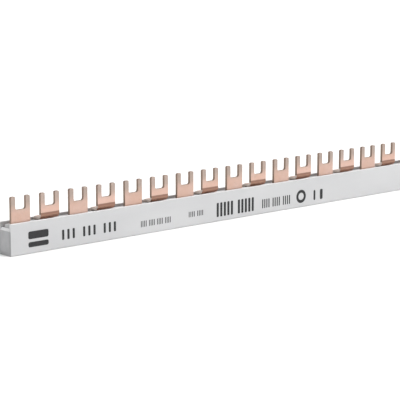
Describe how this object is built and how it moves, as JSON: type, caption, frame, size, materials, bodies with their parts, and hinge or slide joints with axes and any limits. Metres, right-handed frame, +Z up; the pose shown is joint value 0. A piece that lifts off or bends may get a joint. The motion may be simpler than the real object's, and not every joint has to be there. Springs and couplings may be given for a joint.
{
  "type": "insulated busbar",
  "caption": "Two-pole fork busbar: a long insulating profile that holds two copper combs whose U-shaped forks alternate in one row along its top.",
  "frame": {"origin": "under the middle of the bar, on the plane that its base rests on", "axes": "+X along the bar, +Y from the front wall to the rear wall, +Z up through the forks"},
  "size_m": [0.958, 0.0104, 0.0294],
  "materials": {
    "profile_plastic": "light grey extruded rigid plastic, satin",
    "copper": "bare stamped copper, pale and slightly dulled",
    "cap_plastic": "light grey moulded plastic, satin"
  },
  "bodies": {
    "root": {"insulating_profile": "profile_plastic", "front_copper_comb": "copper", "rear_copper_comb": "copper", "left_end_cap": "cap_plastic", "right_end_cap": "cap_plastic"}
  },
  "joints": []
}
